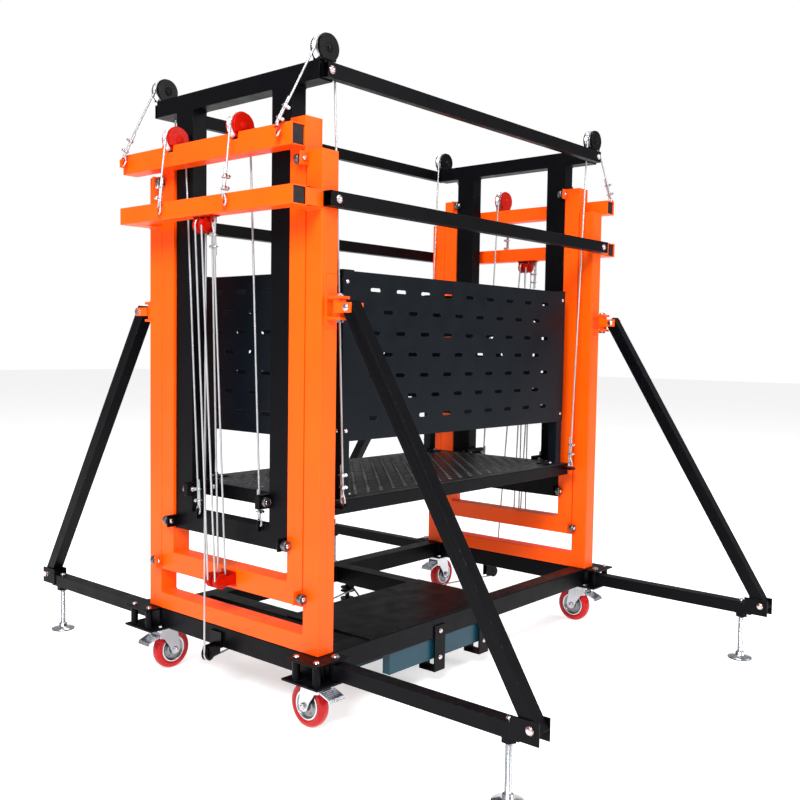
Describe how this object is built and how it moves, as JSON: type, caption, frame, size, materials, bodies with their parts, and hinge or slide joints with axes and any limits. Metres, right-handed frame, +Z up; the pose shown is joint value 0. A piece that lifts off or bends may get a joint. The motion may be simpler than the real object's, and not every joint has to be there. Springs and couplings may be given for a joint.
{
  "type": "mobile lifting work platform",
  "caption": "Two telescoping masts of nested tube frames hoist a guarded deck by wire rope, on a wheeled base with swing-out outriggers.",
  "frame": {"origin": "on the floor, under the centre of the deck", "axes": "+X from the near mast to the far mast, +Y across the masts, +Z up"},
  "size_m": [1.712, 2.1252, 1.847],
  "materials": {
    "orange_paint": "glossy powder coat",
    "black_paint": "semi-gloss powder coat",
    "panel_paint": "semi-gloss powder coat",
    "deck_steel": "raised tread plate, worn",
    "teal_paint": "satin machine enamel",
    "red_paint": "gloss enamel",
    "black_sheave": "satin",
    "zinc": "bright zinc plate",
    "roller_steel": "turned steel",
    "rope_steel": "galvanised wire strands",
    "red_tyre": "cast polyurethane, gloss"
  },
  "bodies": {
    "base": {"base_frame": "black_paint", "cover_plate": "black_paint", "base_brackets": "black_paint", "near_outer_frame": "orange_paint", "far_outer_frame": "orange_paint", "lower_tie_tubes": "black_paint", "winch_body": "teal_paint", "lead_rope_run": "rope_steel", "upper_blocks": "red_paint", "outer_guide_rollers": "roller_steel", "base_fasteners": "zinc", "hoist_fall_ropes": "rope_steel", "front_middle_ropes": "rope_steel"},
    "winch_drum": {"winch_drum": "zinc"},
    "middle_stage": {"near_middle_frame": "orange_paint", "far_middle_frame": "orange_paint", "lower_blocks": "red_paint", "middle_guide_rollers": "roller_steel", "middle_hardware": "zinc", "rear_middle_ropes": "rope_steel", "front_inner_ropes": "rope_steel"},
    "near_middle_sheaves": {"near_middle_sheaves": "red_paint"},
    "far_middle_sheaves": {"far_middle_sheaves": "red_paint"},
    "inner_stage": {"near_inner_frame": "black_paint", "far_inner_frame": "black_paint", "upper_tie_tubes": "black_paint", "inner_guide_rollers": "roller_steel", "inner_hardware": "zinc", "rear_inner_ropes": "rope_steel"},
    "near_inner_sheaves": {"near_inner_sheaves": "black_sheave"},
    "far_inner_sheaves": {"far_inner_sheaves": "black_sheave"},
    "carriage": {"deck_frame": "black_paint", "deck_plate": "deck_steel", "guard_posts": "panel_paint", "front_guard_panel": "panel_paint", "back_guard_panel": "panel_paint", "near_guard_panel": "panel_paint", "far_guard_panel": "panel_paint", "carriage_guide_rollers": "roller_steel", "carriage_hardware": "zinc"},
    "near_right_outrigger": {"near_right_outrigger": "black_paint"},
    "near_right_foot": {"near_right_foot": "zinc"},
    "near_right_caster_fork": {"near_right_fork": "zinc"},
    "near_right_caster_wheel": {"near_right_wheel": "red_tyre"},
    "near_right_caster_brake": {"near_right_brake": "zinc"},
    "near_left_outrigger": {"near_left_outrigger": "black_paint"},
    "near_left_foot": {"near_left_foot": "zinc"},
    "near_left_caster_fork": {"near_left_fork": "zinc"},
    "near_left_caster_wheel": {"near_left_wheel": "red_tyre"},
    "near_left_caster_brake": {"near_left_brake": "zinc"},
    "far_right_outrigger": {"far_right_outrigger": "black_paint"},
    "far_right_foot": {"far_right_foot": "zinc"},
    "far_right_caster_fork": {"far_right_fork": "zinc"},
    "far_right_caster_wheel": {"far_right_wheel": "red_tyre"},
    "far_right_caster_brake": {"far_right_brake": "zinc"},
    "far_left_outrigger": {"far_left_outrigger": "black_paint"},
    "far_left_foot": {"far_left_foot": "zinc"},
    "far_left_caster_fork": {"far_left_fork": "zinc"},
    "far_left_caster_wheel": {"far_left_wheel": "red_tyre"},
    "far_left_caster_brake": {"far_left_brake": "zinc"}
  },
  "joints": [
    {"name": "middle_lift", "type": "slide", "parent": "base", "child": "middle_stage", "axis": [0, 0, 1], "range_m": [0, 0.85], "deforming": ["hoist_fall_ropes", "front_middle_ropes"]},
    {"name": "inner_lift", "type": "slide", "parent": "middle_stage", "child": "inner_stage", "axis": [0, 0, 1], "range_m": [0, 0.85], "deforming": ["rear_middle_ropes", "front_inner_ropes"]},
    {"name": "carriage_lift", "type": "slide", "parent": "inner_stage", "child": "carriage", "axis": [0, 0, 1], "range_m": [0, 0.85], "deforming": ["rear_inner_ropes"]},
    {"name": "near_middle_sheave_spin", "type": "hinge", "parent": "middle_stage", "child": "near_middle_sheaves", "pos_m": [-0.761, 0, 1.633], "axis": [0, 1, 0], "range_deg": [-1395, 0]},
    {"name": "near_inner_sheave_spin", "type": "hinge", "parent": "inner_stage", "child": "near_inner_sheaves", "pos_m": [-0.697, 0, 1.809], "axis": [0, 1, 0], "range_deg": [-1395, 0]},
    {"name": "far_middle_sheave_spin", "type": "hinge", "parent": "middle_stage", "child": "far_middle_sheaves", "pos_m": [0.761, 0, 1.633], "axis": [0, 1, 0], "range_deg": [0, 1395]},
    {"name": "far_inner_sheave_spin", "type": "hinge", "parent": "inner_stage", "child": "far_inner_sheaves", "pos_m": [0.697, 0, 1.809], "axis": [0, 1, 0], "range_deg": [0, 1395]},
    {"name": "winch_spin", "type": "hinge", "parent": "base", "child": "winch_drum", "pos_m": [-0.16, -0.2, 0.12], "axis": [1, 0, 0], "range_deg": [-4760, 0]},
    {"name": "near_right_outrigger_swing", "type": "hinge", "parent": "base", "child": "near_right_outrigger", "pos_m": [-0.695, -0.412, 0.177], "axis": [0, 0, 1], "range_deg": [0, 90]},
    {"name": "near_right_foot_screw", "type": "slide", "parent": "near_right_outrigger", "child": "near_right_foot", "axis": [0, 0, 1], "range_m": [0, 0.05]},
    {"name": "near_right_caster_swivel", "type": "hinge", "parent": "base", "child": "near_right_caster_fork", "pos_m": [-0.7, -0.35, 0.13], "axis": [0, 0, 1], "continuous": true},
    {"name": "near_right_wheel_spin", "type": "hinge", "parent": "near_right_caster_fork", "child": "near_right_caster_wheel", "pos_m": [-0.7, -0.322, 0.0625], "axis": [1, 0, 0], "continuous": true},
    {"name": "near_right_brake_pedal", "type": "hinge", "parent": "near_right_caster_fork", "child": "near_right_caster_brake", "pos_m": [-0.7, -0.37, 0.116], "axis": [-1, 0, 0], "range_deg": [-10, 4]},
    {"name": "near_left_outrigger_swing", "type": "hinge", "parent": "base", "child": "near_left_outrigger", "pos_m": [-0.695, 0.412, 0.177], "axis": [0, 0, 1], "range_deg": [-90, 0]},
    {"name": "near_left_foot_screw", "type": "slide", "parent": "near_left_outrigger", "child": "near_left_foot", "axis": [0, 0, 1], "range_m": [0, 0.05]},
    {"name": "near_left_caster_swivel", "type": "hinge", "parent": "base", "child": "near_left_caster_fork", "pos_m": [-0.7, 0.35, 0.13], "axis": [0, 0, 1], "continuous": true},
    {"name": "near_left_wheel_spin", "type": "hinge", "parent": "near_left_caster_fork", "child": "near_left_caster_wheel", "pos_m": [-0.672, 0.35, 0.0625], "axis": [0, 1, 0], "continuous": true},
    {"name": "near_left_brake_pedal", "type": "hinge", "parent": "near_left_caster_fork", "child": "near_left_caster_brake", "pos_m": [-0.72, 0.35, 0.116], "axis": [0, 1, 0], "range_deg": [-10, 4]},
    {"name": "far_right_outrigger_swing", "type": "hinge", "parent": "base", "child": "far_right_outrigger", "pos_m": [0.695, -0.412, 0.177], "axis": [0, 0, 1], "range_deg": [-90, 0]},
    {"name": "far_right_foot_screw", "type": "slide", "parent": "far_right_outrigger", "child": "far_right_foot", "axis": [0, 0, 1], "range_m": [0, 0.05]},
    {"name": "far_right_caster_swivel", "type": "hinge", "parent": "base", "child": "far_right_caster_fork", "pos_m": [0.7, -0.35, 0.13], "axis": [0, 0, 1], "continuous": true},
    {"name": "far_right_wheel_spin", "type": "hinge", "parent": "far_right_caster_fork", "child": "far_right_caster_wheel", "pos_m": [0.7, -0.322, 0.0625], "axis": [1, 0, 0], "continuous": true},
    {"name": "far_right_brake_pedal", "type": "hinge", "parent": "far_right_caster_fork", "child": "far_right_caster_brake", "pos_m": [0.7, -0.37, 0.116], "axis": [-1, 0, 0], "range_deg": [-10, 4]},
    {"name": "far_left_outrigger_swing", "type": "hinge", "parent": "base", "child": "far_left_outrigger", "pos_m": [0.695, 0.412, 0.177], "axis": [0, 0, 1], "range_deg": [0, 90]},
    {"name": "far_left_foot_screw", "type": "slide", "parent": "far_left_outrigger", "child": "far_left_foot", "axis": [0, 0, 1], "range_m": [0, 0.05]},
    {"name": "far_left_caster_swivel", "type": "hinge", "parent": "base", "child": "far_left_caster_fork", "pos_m": [0.7, 0.35, 0.13], "axis": [0, 0, 1], "continuous": true},
    {"name": "far_left_wheel_spin", "type": "hinge", "parent": "far_left_caster_fork", "child": "far_left_caster_wheel", "pos_m": [0.728, 0.35, 0.0625], "axis": [0, 1, 0], "continuous": true},
    {"name": "far_left_brake_pedal", "type": "hinge", "parent": "far_left_caster_fork", "child": "far_left_caster_brake", "pos_m": [0.68, 0.35, 0.116], "axis": [0, 1, 0], "range_deg": [-10, 4]}
  ],
  "couplings": [
    {"joint": "inner_lift", "follows": "middle_lift", "ratio": 1},
    {"joint": "carriage_lift", "follows": "middle_lift", "ratio": 1},
    {"joint": "near_middle_sheave_spin", "follows": "middle_lift", "rad_per_m": -28.571},
    {"joint": "near_inner_sheave_spin", "follows": "middle_lift", "rad_per_m": -28.571},
    {"joint": "far_middle_sheave_spin", "follows": "middle_lift", "rad_per_m": 28.571},
    {"joint": "far_inner_sheave_spin", "follows": "middle_lift", "rad_per_m": 28.571},
    {"joint": "winch_spin", "follows": "middle_lift", "rad_per_m": -97.56}
  ]
}
